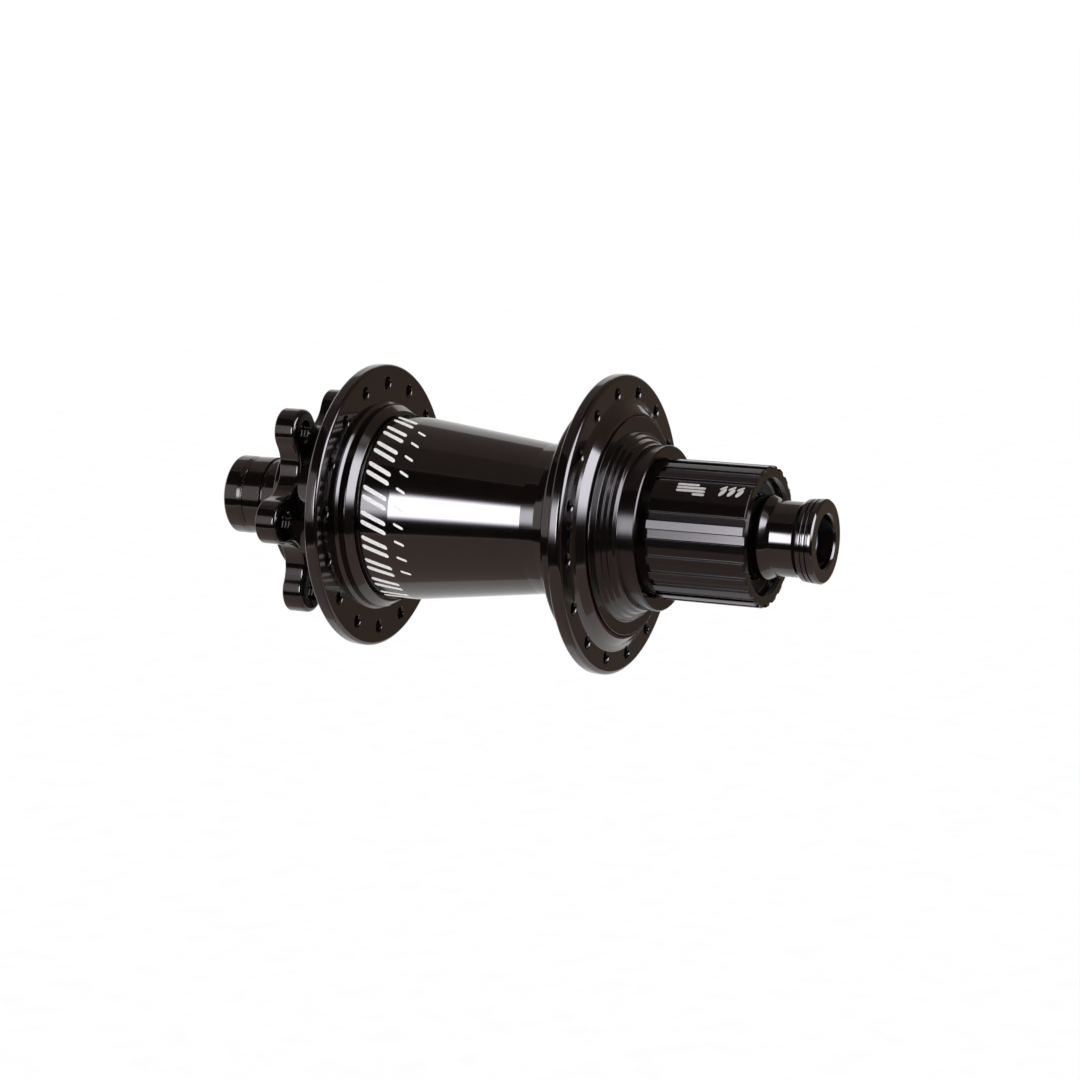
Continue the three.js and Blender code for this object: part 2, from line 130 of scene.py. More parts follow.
# ------------------------------------------------------------- mesh building


def place(station, radius, angle):
    """A point of the hub, in metres."""
    turn = math.radians(angle)
    return Vector((
        -radius * math.cos(turn) * MM,
        DRIVE_END + station * MM,
        radius * math.sin(turn) * MM,
    ))


def link(name, vertices, faces):
    """A mesh object with merged vertices and faces that point outwards."""
    mesh = bpy.data.meshes.new(name)
    mesh.from_pydata(vertices, [], faces)
    shape = bmesh.new()
    shape.from_mesh(mesh)
    bmesh.ops.remove_doubles(shape, verts=shape.verts, dist=MERGE_DISTANCE)
    bmesh.ops.recalc_face_normals(shape, faces=shape.faces)
    shape.to_mesh(mesh)
    shape.free()
    piece = bpy.data.objects.new(name, mesh)
    bpy.context.scene.collection.objects.link(piece)
    return piece


def rounded(corners):
    """Points of a closed outline. A corner is (x, y, fillet radius)."""
    points = []
    for i, (x, y, fillet) in enumerate(corners):
        here = Vector((x, y))
        before = Vector(corners[i - 1][:2]) - here
        after = Vector(corners[(i + 1) % len(corners)][:2]) - here
        opening = before.angle(after)
        if fillet <= 0 or math.pi - opening < 0.02:
            points.append((x, y))
            continue
        half = opening / 2
        reach = min(fillet / math.tan(half), 0.49 * before.length, 0.49 * after.length)
        radius = reach * math.tan(half)
        towards = (before.normalized() + after.normalized()).normalized()
        centre = here + towards * (radius / math.sin(half))
        start = here + before.normalized() * reach - centre
        end = here + after.normalized() * reach - centre
        sweep = math.atan2(start.x * end.y - start.y * end.x, start.dot(end))
        steps = max(2, math.ceil(abs(math.degrees(sweep)) / FILLET_TURN))
        for k in range(steps + 1):
            turn = sweep * k / steps
            cosine, sine = math.cos(turn), math.sin(turn)
            points.append((
                centre.x + start.x * cosine - start.y * sine,
                centre.y + start.x * sine + start.y * cosine,
            ))
    return points


def ring_mesh(name, rows):
    """A closed skin through rows of points that closes both ways."""
    columns = len(rows[0])
    vertices = [point for row in rows for point in row]
    faces = []
    for i in range(len(rows)):
        following = (i + 1) % len(rows)
        for j in range(columns):
            beside = (j + 1) % columns
            faces.append((
                i * columns + j,
                i * columns + beside,
                following * columns + beside,
                following * columns + j,
            ))
    return link(name, vertices, faces)


def turned(name, corners, segments=TURNED_SEGMENTS):
    """A turned ring. A corner is (station, radius, fillet radius)."""
    rows = []
    for station, radius in rounded(corners):
        rows.append([place(station, radius, 360 * j / segments) for j in range(segments)])
    return ring_mesh(name, rows)


def turned_plug(name, profile, centre_radius, centre_angle, segments=24):
    """A turned solid whose own axis is parallel to the hub's. It closes on its axis."""
    centre = place(0, centre_radius, centre_angle)
    vertices = []
    for station, radius in profile:
        for j in range(segments):
            around = place(station, radius, 360 * j / segments)
            vertices.append(around + Vector((centre.x, 0, centre.z)))
    faces = []
    for i in range(len(profile) - 1):
        for j in range(segments):
            beside = (j + 1) % segments
            faces.append((
                i * segments + j,
                i * segments + beside,
                (i + 1) * segments + beside,
                (i + 1) * segments + j,
            ))
    last = (len(profile) - 1) * segments
    faces.append(tuple(range(segments)))
    faces.append(tuple(range(last, last + segments)))
    return link(name, vertices, faces)


def prism(name, outline, start, end):
    """An outline of (radius, angle) corners, drawn out between two stations."""
    count = len(outline)
    vertices = [place(start, radius, angle) for radius, angle in outline]
    vertices += [place(end, radius, angle) for radius, angle in outline]
    faces = [tuple(range(count)), tuple(range(count, 2 * count))]
    for j in range(count):
        beside = (j + 1) % count
        faces.append((j, beside, count + beside, count + j))
    return link(name, vertices, faces)


def merged(name, pieces):
    """One object from several that don't touch."""
    shape = bmesh.new()
    for piece in pieces:
        shape.from_mesh(piece.data)
        bpy.data.objects.remove(piece)
    mesh = bpy.data.meshes.new(name)
    shape.to_mesh(mesh)
    shape.free()
    whole = bpy.data.objects.new(name, mesh)
    bpy.context.scene.collection.objects.link(whole)
    return whole


def combine(piece, other, operation):
    """Joins other to piece or cuts it out, and leaves only piece."""
    modifier = piece.modifiers.new("combine", "BOOLEAN")
    modifier.object = other
    modifier.operation = operation
    modifier.solver = "EXACT"
    evaluated = piece.evaluated_get(bpy.context.evaluated_depsgraph_get())
    mesh = bpy.data.meshes.new_from_object(evaluated)
    piece.modifiers.remove(modifier)
    piece.data = mesh
    bpy.data.objects.remove(other)


def smooth(piece):
    """Smooth faces between the edges that are truly sharp."""
    for polygon in piece.data.polygons:
        polygon.use_smooth = True
    piece.data.set_sharp_from_angle(angle=math.radians(SHARP_ANGLE))
    modifier = piece.modifiers.new("weighted", "WEIGHTED_NORMAL")
    modifier.mode = "FACE_AREA_WITH_ANGLE"
    modifier.weight = 100
    modifier.keep_sharp = True


# ----------------------------------------------------------------- materials


def add(tree, kind, **settings):
    """A shader node with its settings."""
    node = tree.nodes.new(kind)
    for key, value in settings.items():
        setattr(node, key, value)
    return node


def maths(tree, operation, first, second=None):
    """A Math node fed by sockets or numbers."""
    node = add(tree, "ShaderNodeMath", operation=operation)
    for socket, value in zip(node.inputs, (first, second)):
        if value is None:
            continue
        if isinstance(value, bpy.types.NodeSocket):
            tree.links.new(value, socket)
        else:
            socket.default_value = value
    return node.outputs[0]


def ramp(tree, factor, stops):
    """A Color Ramp node. A stop is (position, (red, green, blue))."""
    node = add(tree, "ShaderNodeValToRGB")
    elements = node.color_ramp.elements
    while len(elements) < len(stops):
        elements.new(0.5)
    for element, (position, colour) in zip(elements, stops):
        element.position = position
        element.color = (*colour, 1)
    tree.links.new(factor, node.inputs[0])
    return node.outputs[0]


def noise(tree, vector, scale, detail=2.0, roughness=0.5, dimensions="3D"):
    """A Noise Texture node's grey value."""
    node = add(tree, "ShaderNodeTexNoise", noise_dimensions=dimensions)
    node.inputs["Scale"].default_value = scale
    node.inputs["Detail"].default_value = detail
    node.inputs["Roughness"].default_value = roughness
    if dimensions == "1D":
        tree.links.new(vector, node.inputs["W"])
    else:
        tree.links.new(vector, node.inputs["Vector"])
    return node.outputs["Fac"]


def spread(tree, factor, low, high):
    """Maps 0 to 1 onto low to high."""
    node = add(tree, "ShaderNodeMapRange")
    tree.links.new(factor, node.inputs["Value"])
    node.inputs["To Min"].default_value = low
    node.inputs["To Max"].default_value = high
    return node.outputs["Result"]


def start_material(name):
    """A material, its node tree, its Principled shader and its coordinates."""
    material = bpy.data.materials.new(name)
    material.use_nodes = True
    tree = material.node_tree
    shader = tree.nodes["Principled BSDF"]
    place_of = add(tree, "ShaderNodeTexCoord").outputs["Object"]
    return material, tree, shader, place_of


def tool_lines(tree, place_of):
    """Fine rings left by turning, round the hub's axis: a grey value."""
    parts = add(tree, "ShaderNodeSeparateXYZ")
    tree.links.new(place_of, parts.inputs[0])
    across = maths(tree, "POWER", parts.outputs["X"], 2.0)
    up = maths(tree, "POWER", parts.outputs["Z"], 2.0)
    radius = maths(tree, "SQRT", maths(tree, "ADD", across, up))
    travel = maths(tree, "ADD", maths(tree, "MULTIPLY", radius, 1.7), parts.outputs["Y"])
    return noise(tree, travel, 5200.0, detail=3.0, roughness=0.7, dimensions="1D")


def bump(tree, height, strength, distance, shader):
    """Feeds the shader's normal."""
    node = add(tree, "ShaderNodeBump")
    node.inputs["Strength"].default_value = strength
    node.inputs["Distance"].default_value = distance
    tree.links.new(height, node.inputs["Height"])
    tree.links.new(node.outputs["Normal"], shader.inputs["Normal"])


def anodised_material(name, dark, warm, roughness, line_depth, refraction):
    """Glossy dyed aluminium: clear oxide over a dark dye, faint tool rings,
    smudges that change the gloss, and specks of dust. The roughness is a
    range, and the refraction is the oxide's index."""
    material, tree, shader, place_of = start_material(name)
    cloud = noise(tree, place_of, 130.0, detail=4.0, roughness=0.6)
    tint = ramp(tree, cloud, [(0.35, dark), (0.7, warm)])
    specks = add(tree, "ShaderNodeTexVoronoi", feature="F1")
    specks.inputs["Scale"].default_value = 620.0
    tree.links.new(place_of, specks.inputs["Vector"])
    speck_size = maths(tree, "MULTIPLY", noise(tree, place_of, 900.0), 0.1)
    speck = maths(tree, "LESS_THAN", specks.outputs["Distance"], speck_size)
    mix = add(tree, "ShaderNodeMix", data_type="RGBA")
    tree.links.new(maths(tree, "MULTIPLY", speck, 0.3), mix.inputs["Factor"])
    tree.links.new(tint, mix.inputs["A"])
    mix.inputs["B"].default_value = (0.05, 0.042, 0.04, 1)
    tree.links.new(mix.outputs["Result"], shader.inputs["Base Color"])
    smudge = noise(tree, place_of, 55.0, detail=5.0, roughness=0.55)
    tree.links.new(spread(tree, smudge, *roughness), shader.inputs["Roughness"])
    shader.inputs["IOR"].default_value = refraction
    shader.inputs["Specular Tint"].default_value = (1.0, 0.86, 0.82, 1)
    bump(tree, tool_lines(tree, place_of), 0.25, line_depth, shader)
    return material


def bare_metal_material(name, light, dark, roughness):
    """Machined metal with tool rings and slight stains."""
    material, tree, shader, place_of = start_material(name)
    lines = tool_lines(tree, place_of)
    stain = noise(tree, place_of, 160.0, detail=4.0)
    half_lines = maths(tree, "MULTIPLY", lines, 0.5)
    half_stain = maths(tree, "MULTIPLY", stain, 0.5)
    blend = maths(tree, "ADD", half_lines, half_stain)
    tree.links.new(ramp(tree, blend, [(0.3, dark), (0.7, light)]), shader.inputs["Base Color"])
    gloss = spread(tree, lines, roughness * 0.8, roughness * 1.3)
    tree.links.new(gloss, shader.inputs["Roughness"])
    shader.inputs["Metallic"].default_value = 1.0
    bump(tree, lines, 0.4, 0.000004, shader)
    return material


def rubber_material(name, dark, light, roughness):
    """Moulded rubber with a fine grain and a dusty bloom."""
    material, tree, shader, place_of = start_material(name)
    bloom = noise(tree, place_of, 240.0, detail=5.0)
    tree.links.new(ramp(tree, bloom, [(0.35, dark), (0.75, light)]), shader.inputs["Base Color"])
    gloss = spread(tree, bloom, roughness - 0.08, roughness + 0.1)
    tree.links.new(gloss, shader.inputs["Roughness"])
    shader.inputs["Specular IOR Level"].default_value = 0.25
    bump(tree, noise(tree, place_of, 4200.0), 0.3, 0.00001, shader)
    return material


def print_material(name, light, dark):
    """Laser marking: slightly grainy, with thin spots."""
    material, tree, shader, place_of = start_material(name)
    grain = noise(tree, place_of, 2600.0, detail=3.0)
    tree.links.new(ramp(tree, grain, [(0.3, dark), (0.6, light)]), shader.inputs["Base Color"])
    tree.links.new(spread(tree, grain, 0.45, 0.65), shader.inputs["Roughness"])
    bump(tree, grain, 0.3, 0.000006, shader)
    return material


black_gloss = anodised_material(
    "black_anodised_gloss",
    dark=(0.0018, 0.0012, 0.0011),
    warm=(0.0036, 0.0024, 0.0021),
    roughness=(0.08, 0.13),
    line_depth=0.000003,
    refraction=1.62,
)
black_satin = anodised_material(
    "black_anodised_satin",
    dark=(0.0018, 0.0012, 0.0011),
    warm=(0.0038, 0.0026, 0.0023),
    roughness=(0.12, 0.18),
    line_depth=0.000005,
    refraction=1.45,
)
raw_aluminium = bare_metal_material(
    "raw_aluminium", light=(0.62, 0.62, 0.63), dark=(0.45, 0.45, 0.46), roughness=0.32,
)
bearing_steel = bare_metal_material(
    "bearing_steel", light=(0.56, 0.57, 0.58), dark=(0.42, 0.42, 0.43), roughness=0.2,
)
hardened_steel = bare_metal_material(
    "hardened_steel", light=(0.27, 0.27, 0.28), dark=(0.16, 0.16, 0.17), roughness=0.34,
)
spring_steel = bare_metal_material(
    "spring_steel", light=(0.42, 0.42, 0.45), dark=(0.28, 0.29, 0.33), roughness=0.28,
)
ball_steel = bare_metal_material(
    "ball_steel", light=(0.6, 0.6, 0.61), dark=(0.5, 0.5, 0.51), roughness=0.12,
)
black_rubber = rubber_material(
    "black_rubber", dark=(0.004, 0.004, 0.004), light=(0.012, 0.0115, 0.011), roughness=0.55,
)
red_rubber = rubber_material(
    "red_rubber", dark=(0.05, 0.004, 0.003), light=(0.1, 0.007, 0.005), roughness=0.45,
)
pale_print = print_material("pale_print", light=(0.9, 0.885, 0.875), dark=(0.72, 0.70, 0.69))
dull_print = print_material("dull_print", light=(0.5, 0.47, 0.45), dark=(0.36, 0.33, 0.32))

SLOT_MATERIALS = {
    "black_anodised": black_gloss,
    "raw_aluminium": raw_aluminium,
    "bearing_steel": bearing_steel,
    "hardened_steel": hardened_steel,
    "spring_steel": spring_steel,
    "balls_and_cage": ball_steel,
    "black_rubber": black_rubber,
    "red_rubber": red_rubber,
}


def finish_piece(piece, body, slot, material, *nodes):
    """Gives a new piece its material, its body and the CAD nodes it stands for."""
    smooth(piece)
    piece.data.materials.clear()
    piece.data.materials.append(material)
    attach(piece, body)
    if nodes:
        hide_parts(*nodes)
    return piece


# ---------------------------------------------------------------- axle group


def make_axle_tube():
    tube = turned("axle_tube_fine", [
        (4.3, 6.2, 0.1),
        (4.3, 7.3, 0.1),
        (64.3, 7.3, 0.2),
        (64.3, 9, 0.2),
        (121.4, 9, 0.2),
        (121.4, 7.3, 0.2),
        (143.7, 7.3, 0.1),
        (143.7, 6.2, 0.1),
    ], 96)
    finish_piece(tube, "axle", "raw_aluminium", raw_aluminium, "axle_tube")


def make_drive_cap():
    """Two narrow ridges behind the rim, a neck, and a flare over the seal."""
    cap = turned("drive_cap", [
        (0, 6.4, 0.1),
        (0, 9.1, 0.2),
        (0.4, 9.5, 0.15),
        (1.35, 9.5, 0.08),
        (1.5, 9.0, 0.05),
        (1.75, 9.0, 0.05),
        (1.85, 9.4, 0.08),
        (2.5, 9.4, 0.08),
        (2.62, 8.95, 0.05),
        (2.9, 8.95, 0.05),
        (3.0, 9.3, 0.1),
        (4.0, 9.25, 0.12),
        (5.1, 8.45, 0.35),
        (10.8, 8.45, 2.5),
        (12.7, 9.55, 0.8),
        (14.2, 9.55, 0.12),
        (14.2, 9, 0.1),
        (16.7, 9, 0.1),
        (16.7, 7.6, 0.1),
        (4, 7.6, 0),
        (4, 6, 0),
        (0.4, 6, 0.15),
    ])
    finish_piece(cap, "axle", "black_anodised", black_gloss, "end_cap_drive")


def make_disc_cap():
    cap = turned("disc_cap", [
        (HUB_WIDTH, 6.4, 0.1),
        (HUB_WIDTH, 8.75, 0.2),
        (HUB_WIDTH - 0.45, 9.2, 0.2),
        (144.4, 9.2, 0.1),
        (143.6, 9.08, 0.1),
        (143.15, 9.08, 0.05),
        (143, 8.9, 0),
        (142.85, 9.15, 0.05),
        (138.4, 9.25, 0.08),
        (138.1, 8.85, 0.08),
        (137.4, 8.85, 0.08),
        (137.1, 9.25, 0.08),
        (131.2, 9.25, 0.15),
        (130.8, 9, 0.1),
        (129, 9, 0.1),
        (129, 7.6, 0),
        (144, 7.6, 0),
        (144, 6, 0),
        (HUB_WIDTH - 0.4, 6, 0.15),
    ])
    finish_piece(cap, "axle", "black_anodised", black_gloss, "end_cap_disc")


# --------------------------------------------------------------------- shell


def shell_turning():
    """The shell without its holes and its brake mount."""
    barrel_start, barrel_end = BARREL_STATIONS
    barrel_small, barrel_large = BARREL_RADII
    return turned("shell", [
        # outside, from the drive side to the disc side
        (46.7, 25.2, 0.1),
        (46.75, 25.75, 0.2),
        (48.3, 27.5, 0.5),
        (48.75, 28.3, 0.4),
        (DRIVE_FLANGE_FACE, 28.9, 0.3),
        (DRIVE_FLANGE_FACE, 34.2, 1.1),
        (DRIVE_FLANGE_BACK, 34.2, 0.7),
        (DRIVE_FLANGE_BACK, 27.4, 0.5),
        (57.2, 27.1, 1.2),
        (59.0, 20.6, 1.6),
        (61.0, 17.6, 1.6),
        (63.4, barrel_small, 1.5),
        (barrel_start, barrel_small, 2.0),
        (barrel_end, barrel_large, 3.0),
        (BARREL_END, BARREL_END_RADIUS, 0.15),
        (105.2, 20.9, 0.15),
        (105.9, 20.9, 0.15),
        (106, 22.3, 0.3),
        (107.7, 23.7, 0.4),
        (109.4, 23.7, 0.3),
        (DISC_FLANGE_FACE, 24.3, 0.2),
        (DISC_FLANGE_FACE, 33, 0.8),
        (DISC_FLANGE_BACK, 33, 0.8),
        (DISC_FLANGE_BACK, 21.6, 0.4),
        (114.6, 19.3, 0.6),
        (116.4, 17.2, 0.9),
        (130.1, 17.2, 0.15),
        (130.4, 16.9, 0.15),
        # inside, back to the drive side
        (130.4, 14.3, 0.15),
        (121.4, 14.3, 0),
        (121.4, 12.6, 0.2),
        (119.8, 12.6, 0.5),
        (116, 15, 0.5),
        (111, 18.6, 1),
        (104, 18.8, 1),
        (82, 16, 1),
        (72, 14.8, 1),
        (66, 14.8, 0.5),
        (65.9, 12.6, 0.2),
        (64.3, 12.6, 0.2),
        (64.3, 14.3, 0),
        (54.7, 14.3, 0.2),
        (54.7, 25.5, 0.2),
    ])


def brake_mount_outline(steps=14):
    """Six lobes and the hollows between them, as (point, outward direction) in
    millimetres. The hollows' arcs touch the lobes' arcs."""
    step = math.radians(360 / ROTOR_BOLTS)
    cosine, sine = math.cos(step / 2), math.sin(step / 2)
    bolts = ROTOR_BOLT_CIRCLE
    room = bolts**2 + ROTOR_HOLLOW_RADIUS**2 - ROTOR_LOBE_RADIUS**2
    room -= 2 * bolts * cosine * ROTOR_HOLLOW_RADIUS
    hollow = room / (2 * (ROTOR_LOBE_RADIUS - ROTOR_HOLLOW_RADIUS + bolts * cosine))
    middle = ROTOR_HOLLOW_RADIUS + hollow
    lobe_sweep = math.atan2(middle * sine, middle * cosine - bolts)
    hollow_sweep = math.atan2(bolts * sine, middle - bolts * cosine)
    points = []
    for i in range(ROTOR_BOLTS):
        lobe = math.radians(ROTOR_LOBE_ANGLE) + step * i
        for j in range(2 * steps + 1):
            turn = lobe + lobe_sweep * (j / steps - 1)
            outward = Vector((math.cos(turn), math.sin(turn)))
            centre = Vector((math.cos(lobe), math.sin(lobe))) * bolts
            points.append((centre + outward * ROTOR_LOBE_RADIUS, outward))
        for j in range(1, steps):
            between = lobe + step / 2
            turn = between + math.pi + hollow_sweep * (1 - 2 * j / steps)
            outward = -Vector((math.cos(turn), math.sin(turn)))
            centre = Vector((math.cos(between), math.sin(between))) * middle
            points.append((centre - outward * hollow, outward))
    return points


def brake_mount():
    """The lobed plate that the brake rotor is bolted to, with rounded edges."""
    outline = brake_mount_outline()
    start = ROTOR_FACE - ROTOR_LOBE_THICKNESS
    arc = [math.radians(90 * k / 5) for k in range(6)]
    levels = []
    for turn in reversed(arc):
        inset = ROTOR_INNER_EDGE * (1 - math.cos(turn))
        levels.append((start + ROTOR_INNER_EDGE * (1 - math.sin(turn)), inset))
    for turn in arc:
        inset = ROTOR_OUTER_EDGE * (1 - math.cos(turn))
        levels.append((ROTOR_FACE - ROTOR_OUTER_EDGE * (1 - math.sin(turn)), inset))
    skin = []
    for station, inset in levels:
        row = []
        for point, outward in outline:
            inner = point - outward * inset
            row.append(Vector((-inner.x * MM, DRIVE_END + station * MM, inner.y * MM)))
        skin.append(row)
    for station in (ROTOR_FACE, start):
        row = []
        for point, _ in outline:
            near = point.normalized() * ROTOR_CORE_RADIUS
            row.append(Vector((-near.x * MM, DRIVE_END + station * MM, near.y * MM)))
        skin.append(row)
    return ring_mesh("brake_mount", skin)


def bolt_hole(angle):
    """A tapped hole: thread rings between two chamfers."""
    start = ROTOR_FACE - ROTOR_LOBE_THICKNESS
    deep = BOLT_HOLE_RADIUS + BOLT_THREAD_DEPTH
    profile = [(start - 1, deep + 1.2), (start + 0.1, deep + 0.15)]
    turns = int((ROTOR_LOBE_THICKNESS - 0.9) / BOLT_THREAD_PITCH)
    for i in range(turns):
        station = start + 0.45 + BOLT_THREAD_PITCH * i
        profile.append((station, BOLT_HOLE_RADIUS))
        profile.append((station + BOLT_THREAD_PITCH * 0.5, deep))
    profile.append((start + 0.45 + BOLT_THREAD_PITCH * turns, BOLT_HOLE_RADIUS))
    profile += [(ROTOR_FACE - 0.25, deep - 0.05), (ROTOR_FACE + 1, deep + 1.2)]
    return turned_plug("bolt_hole", profile, ROTOR_BOLT_CIRCLE, angle)


def spoke_hole(face, back, circle, angle):
    """A drilled hole with its edges broken on both sides."""
    mouth = SPOKE_HOLE_RADIUS + SPOKE_HOLE_EDGE
    profile = [
        (face - 0.6, mouth + 0.65),
        (face, mouth),
        (face + 0.12, mouth - 0.12),
        (face + 0.45, SPOKE_HOLE_RADIUS + 0.08),
        (face + 0.6, SPOKE_HOLE_RADIUS),
        (back - 0.6, SPOKE_HOLE_RADIUS),
        (back - 0.45, SPOKE_HOLE_RADIUS + 0.08),
        (back - 0.12, mouth - 0.12),
        (back, mouth),
        (back + 0.6, mouth + 0.65),
    ]
    return turned_plug("spoke_hole", profile, circle, angle)


def make_shell():
    shell = shell_turning()
    combine(shell, brake_mount(), "UNION")
    step = 360 / SPOKES_PER_FLANGE
    holes = []
    for i in range(SPOKES_PER_FLANGE):
        drive_angle = DRIVE_SPOKE_ANGLE + step * i
        disc_angle = drive_angle + step / 2
        holes.append(
            spoke_hole(DRIVE_FLANGE_FACE, DRIVE_FLANGE_BACK, DRIVE_SPOKE_CIRCLE, drive_angle)
        )
        holes.append(
            spoke_hole(DISC_FLANGE_FACE, DISC_FLANGE_BACK, DISC_SPOKE_CIRCLE, disc_angle)
        )
    for i in range(ROTOR_BOLTS):
        holes.append(bolt_hole(ROTOR_LOBE_ANGLE + 360 / ROTOR_BOLTS * i))
    combine(shell, merged("holes", holes), "DIFFERENCE")
    finish_piece(shell, "shell", "black_anodised", black_gloss, "hub_shell")


# -------------------------------------------------------------- freehub body


def land_spans():
    """The lower and upper angle of each land: the narrow ones, then the wide one."""
    pitch = (LAST_NARROW_LAND - FIRST_NARROW_LAND) / (NARROW_LANDS - 1)
    spans = []
    for i in range(NARROW_LANDS):
        low = FIRST_NARROW_LAND + pitch * i
        spans.append((low, low + NARROW_LAND_ANGLE))
    spans.append((WIDE_LAND[0] + 360, WIDE_LAND[1] + 360))
    return spans


def spline_columns():
    """The spline's cross section as (angle, radius), with small radii on its edges.
    The narrow lands and the gaps are flat, and the wide land is round. Long flats
    are cut into columns, so that the round rows of the same mesh stay round."""
    corners = []

    def corner(radius, angle, fillet):
        turn = math.radians(angle)
        corners.append((radius * math.cos(turn), radius * math.sin(turn), fillet))

    for low, high in land_spans():
        corner(SPLINE_ROOT, low, SPLINE_CORNER_INSIDE)
        corner(SPLINE_TIP, low, SPLINE_CORNER_OUTSIDE)
        narrow = high - low <= NARROW_LAND_ANGLE + 0.01
        steps = 1 if narrow else math.ceil((high - low) / WIDE_LAND_COLUMN_ANGLE)
        for k in range(1, steps):
            corner(SPLINE_TIP, low + (high - low) * k / steps, 0)
        corner(SPLINE_TIP, high, SPLINE_CORNER_OUTSIDE)
        corner(SPLINE_ROOT, high, SPLINE_CORNER_INSIDE)
    points = rounded(corners)
    columns = []
    for i, (x, y) in enumerate(points):
        next_x, next_y = points[(i + 1) % len(points)]
        cuts = max(1, round(math.hypot(next_x - x, next_y - y) / SPLINE_COLUMN_WIDTH))
        for k in range(cuts):
            cut_x = x + (next_x - x) * k / cuts
            cut_y = y + (next_y - y) * k / cuts
            columns.append((math.degrees(math.atan2(cut_y, cut_x)), math.hypot(cut_x, cut_y)))
    return columns


def freehub_profile():
    """Stations and radii of the freehub body in front of its shoulder."""
    thread = []
    root, crest = LOCKRING_THREAD_RADII
    for i in range(LOCKRING_THREADS):
        station = 16.0 - LOCKRING_THREAD_PITCH * i
        thread.append((station, root, 0))
        thread.append((station - LOCKRING_THREAD_PITCH / 2, crest, 0))
    return rounded([
        (FREEHUB_FACE, 13.35, 0.1),
        (FREEHUB_FACE, 15.2, 0.08),
        (FREEHUB_FACE + SPLINE_CHAMFER, SPLINE_TIP, 0.12),
        (SPLINE_END, SPLINE_TIP, 0.12),
        (SPLINE_END, SPLINE_GROOVE, 0.2),
        (40.2, SPLINE_GROOVE, 0),
        (40.2, 10.4, 0.2),
        (22.3, 10.4, 0.2),
        (22.3, 12.3, 0),
        (16.7, 12.3, 0),
        *thread,
        (13.95, 13.0, 0),
    ])


def shoulder_turning():
    """The stepped shoulder of the freehub body, with the grooves for its lip seal."""
    return turned("freehub_shoulder", [
        (38.2, 12.4, 0),
        (38.2, 18.5, 0.2),
        (38.5, 18.8, 0.2),
        (42.5, 18.75, 0.5),
        (43.0, 19.5, 0.25),
        (44.0, 19.95, 0.1),
        (44.1, 20.4, 0.12),
        (45.0, 20.85, 0.1),
        (45.1, 21.3, 0.12),
        (46.2, 21.8, 0.25),
        (46.2, 24.85, 0.12),
        (46.7, 24.85, 0.1),
        (46.7, 24.0, 0.1),
        (48.5, 24.0, 0.1),
        (48.5, 24.8, 0.1),
        (49.0, 24.8, 0.1),
        (49.0, 20.9, 0.2),
        (54.2, 20.9, 0.2),
        (54.2, 12.4, 0.2),
    ])


def pawl_pocket(angle):
    """Cutter for one pawl's recess: its socket and the room it folds into."""

    def from_pivot(outwards, forwards):
        radius = PAWL_PIVOT_RADIUS + outwards
        return math.hypot(radius, forwards), angle + math.degrees(math.atan2(forwards, radius))

    outline = [
        from_pivot(-2.35, 0.4),
        from_pivot(-1, PAWL_LENGTH + 1.1),
        from_pivot(5, PAWL_LENGTH + 1.3),
        from_pivot(5, 0.3),
        from_pivot(0, 0.3),
    ]
    room = prism("pocket_room", outline, POCKET_START, POCKET_END)
    socket = turned_plug(
        "pocket_socket",
        [(POCKET_START, PAWL_SOCKET_RADIUS), (POCKET_END, PAWL_SOCKET_RADIUS)],
        PAWL_PIVOT_RADIUS, angle, 32,
    )
    combine(room, socket, "UNION")
    return room


def make_freehub_body():
    columns = spline_columns()
    rows = []
    for station, envelope in freehub_profile():
        splined = FREEHUB_FACE <= station <= SPLINE_END and envelope > SPLINE_GROOVE + 0.05
        row = []
        for angle, radius in columns:
            row.append(place(station, min(radius, envelope) if splined else envelope, angle))
        rows.append(row)
    body = ring_mesh("freehub", rows)
    combine(body, shoulder_turning(), "UNION")
    pockets = [pawl_pocket(FIRST_PAWL_ANGLE + 360 / PAWL_COUNT * i) for i in range(PAWL_COUNT)]
    combine(body, merged("pockets", pockets), "DIFFERENCE")
    finish_piece(body, "freehub", "black_anodised", black_satin, "freehub_body")


# --------------------------------------------------------------------- seals


def make_seals():
    lip = turned("lip_seal", [
        (47.1, 24.1, 0.1),
        (47.1, 24.9, 0.1),
        (46.85, 25.05, 0.05),
        (47.0, 25.3, 0.08),
        (48.2, 25.2, 0.1),
        (48.2, 24.1, 0.1),
    ])
    finish_piece(lip, "freehub", "red_rubber", red_rubber, "freehub_lip_seal")
    end = turned("end_seal", [
        (16.2, 9.75, 0.1),
        (16.2, 10.4, 0.1),
        (16.35, 10.6, 0.05),
        (16.35, 11.6, 0.05),
        (16.2, 11.9, 0.1),
        (16.2, 12.25, 0.1),
        (16.75, 12.25, 0.1),
        (16.75, 9.75, 0.1),
    ])
    finish_piece(end, "freehub", "black_rubber", black_rubber, "freehub_end_seal")
    disc = turned("disc_side_seal", [
        (130.2, 9.5, 0.1),
        (130.2, 10.3, 0.1),
        (129.95, 10.6, 0.1),
        (129.95, 13.1, 0.1),
        (130.2, 13.4, 0.1),
        (130.2, 14.1, 0.1),
        (129.2, 14.1, 0.1),
        (129.2, 9.5, 0.1),
    ])
    finish_piece(disc, "shell", "black_rubber", black_rubber, "disc_seal")


# --------------------------------------------------------------------- marks


def barrel_radius(station):
    start, middle = BARREL_STATIONS
    small, large = BARREL_RADII
    if station < middle:
        return small + (large - small) * max(0.0, (station - start) / (middle - start))
    share = min(1.0, (station - middle) / (BARREL_END - middle))
    return large + (BARREL_END_RADIUS - large) * share


